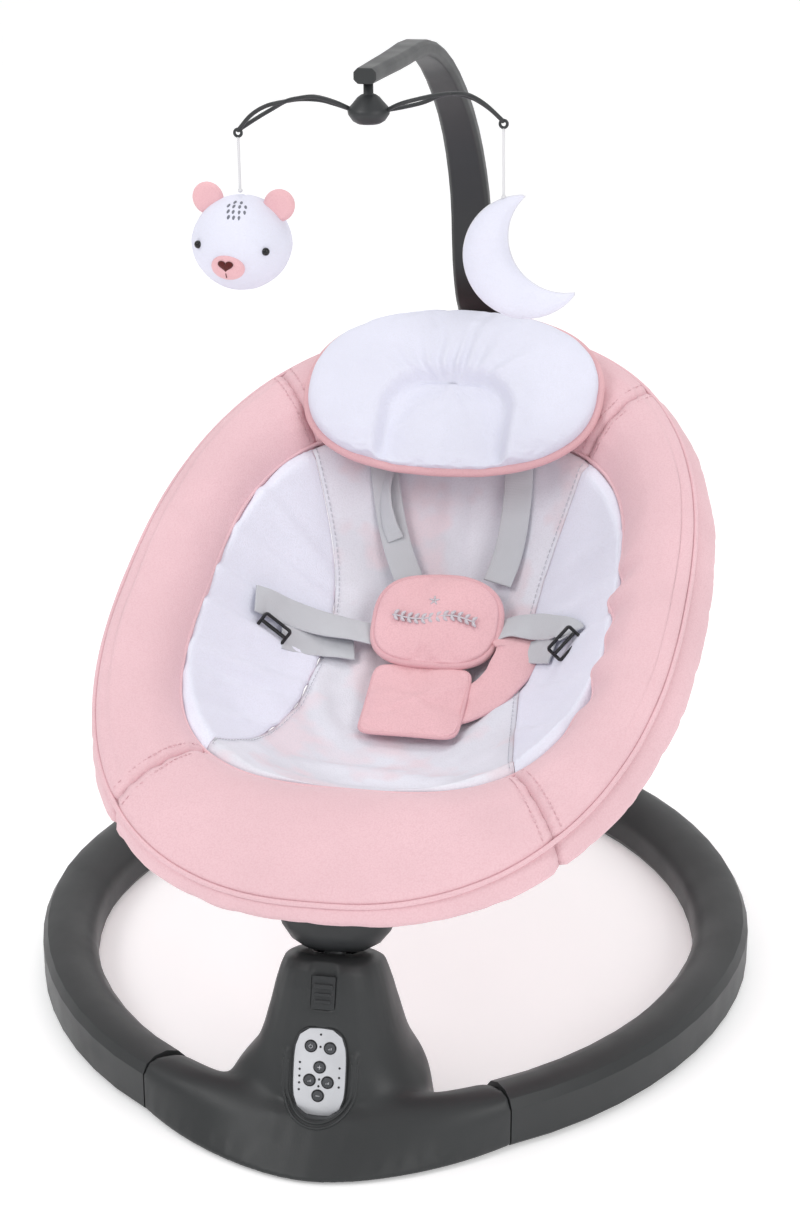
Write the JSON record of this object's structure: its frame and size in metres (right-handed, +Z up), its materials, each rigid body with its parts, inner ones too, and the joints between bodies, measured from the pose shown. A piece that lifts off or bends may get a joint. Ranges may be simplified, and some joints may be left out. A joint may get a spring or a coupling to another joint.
{
  "type": "baby swing",
  "caption": "Baby swing with an oval floor ring, a drive tower, a reclining oval fabric seat with harness and head pillow, and a lift-off toy arch with a mobile.",
  "frame": {"origin": "on the floor under the middle of the model's length, 12 mm in front of the middle of the base ring", "axes": "+Z up, -Y towards the drive tower and the foot end of the seat, +X to the right of someone who faces the tower's back"},
  "size_m": [0.5796, 0.6982, 0.7396],
  "materials": {
    "plastic": "fine textured dark grey",
    "dark_plastic": "fine textured, darker grey",
    "rubber": "matt",
    "silver_panel": "satin silver paint",
    "steel": "zinc plated",
    "copper": "enamelled winding",
    "board": "solder mask",
    "pink_fabric": "knitted pink cover",
    "white_fabric": "white knit",
    "print_fabric": "pale grey with soft pink clouds",
    "webbing": "woven light grey",
    "black_plastic": "moulded black"
  },
  "bodies": {
    "base": {"front_housing": "plastic", "bottom_cover": "plastic", "ring_tube_left": "plastic", "ring_tube_right": "plastic", "rear_joiner": "plastic", "foot_front_left": "rubber", "foot_front_right": "rubber", "foot_rear_left": "rubber", "foot_rear_right": "rubber", "cover_screw_1": "steel", "cover_screw_2": "steel", "cover_screw_3": "steel", "cover_screw_4": "steel", "control_panel": "silver_panel", "circuit_board": "board", "upper_bearing": "steel", "lower_bearing": "steel", "drive_coil": "copper", "speaker": "dark_plastic", "power_jack": "black_plastic"},
    "lock": {"lock_slider": "dark_plastic"},
    "power_key": {"button_power": "dark_plastic"},
    "music_key": {"button_music": "dark_plastic"},
    "faster_key": {"button_faster": "dark_plastic"},
    "slower_key": {"button_slower": "dark_plastic"},
    "timer_key": {"button_timer": "dark_plastic"},
    "volume_key": {"button_volume": "dark_plastic"},
    "swing_hub": {"hub_cup": "dark_plastic", "recline_pin": "steel", "swing_shaft": "steel", "magnet_arm": "plastic", "drive_magnet": "steel"},
    "seat": {"seat_frame": "steel", "cover_left": "pink_fabric", "cover_right": "pink_fabric", "cover_head": "pink_fabric", "cover_foot": "pink_fabric", "seat_liner": "print_fabric", "side_panel_left": "white_fabric", "side_panel_right": "white_fabric", "seat_saddle": "plastic", "head_pillow": "white_fabric", "shoulder_strap_left": "webbing", "shoulder_strap_right": "webbing", "waist_strap_left": "webbing", "waist_strap_right": "webbing", "strap_adjuster_left": "black_plastic", "strap_adjuster_right": "black_plastic", "crotch_pad": "pink_fabric", "buckle": "dark_plastic", "buckle_pad": "pink_fabric", "arch_socket": "plastic"},
    "arch": {"toy_arch": "plastic"},
    "mobile": {"mobile_hub": "dark_plastic", "mobile_arm_left": "dark_plastic", "mobile_arm_right": "dark_plastic"},
    "bear": {"bear_head": "white_fabric", "bear_string": "webbing"},
    "moon": {"crescent_moon": "white_fabric", "moon_string": "webbing"}
  },
  "joints": [
    {"name": "seat_swing", "type": "hinge", "parent": "base", "child": "swing_hub", "pos_m": [0, -0.2278, 0.15], "axis": [0, 0.342, 0.9397], "range_deg": [-9.3, 14.7]},
    {"name": "seat_recline", "type": "hinge", "parent": "swing_hub", "child": "seat", "pos_m": [0, -0.22643, 0.15376], "axis": [0.9989, -0.0443, 0.0161], "range_deg": [0, 8]},
    {"name": "arch_lift", "type": "slide", "parent": "seat", "child": "arch", "axis": [-0.0161, 0.0004, 0.9999], "range_m": [0, 0.03]},
    {"name": "mobile_spin", "type": "hinge", "parent": "arch", "child": "mobile", "pos_m": [-0.00255, -0.08074, 0.71198], "axis": [-0.0161, 0.0004, 0.9999], "continuous": true},
    {"name": "bear_sway", "type": "hinge", "parent": "mobile", "child": "bear", "pos_m": [-0.09805, -0.0765, 0.68594], "axis": [0.0443, 0.999, 0.0004], "range_deg": [-25, 25]},
    {"name": "moon_sway", "type": "hinge", "parent": "mobile", "child": "moon", "pos_m": [0.09356, -0.085, 0.70003], "axis": [0.0443, 0.999, 0.0004], "range_deg": [-25, 25]},
    {"name": "lock_slide", "type": "slide", "parent": "base", "child": "lock", "axis": [0, 0.3173, 0.9483], "range_m": [0, 0.01]},
    {"name": "power_press", "type": "slide", "parent": "base", "child": "power_key", "axis": [0, 0.9646, -0.2639], "range_m": [0, 0.0012], "stiffness_N_per_m": 600, "springref_m": -0.0006},
    {"name": "music_press", "type": "slide", "parent": "base", "child": "music_key", "axis": [0, 0.9646, -0.2639], "range_m": [0, 0.0012], "stiffness_N_per_m": 600, "springref_m": -0.0006},
    {"name": "faster_press", "type": "slide", "parent": "base", "child": "faster_key", "axis": [0, 0.9646, -0.2639], "range_m": [0, 0.0012], "stiffness_N_per_m": 600, "springref_m": -0.0006},
    {"name": "slower_press", "type": "slide", "parent": "base", "child": "slower_key", "axis": [0, 0.9646, -0.2639], "range_m": [0, 0.0012], "stiffness_N_per_m": 600, "springref_m": -0.0006},
    {"name": "timer_press", "type": "slide", "parent": "base", "child": "timer_key", "axis": [0, 0.9646, -0.2639], "range_m": [0, 0.0012], "stiffness_N_per_m": 600, "springref_m": -0.0006},
    {"name": "volume_press", "type": "slide", "parent": "base", "child": "volume_key", "axis": [0, 0.9646, -0.2639], "range_m": [0, 0.0012], "stiffness_N_per_m": 600, "springref_m": -0.0006}
  ]
}
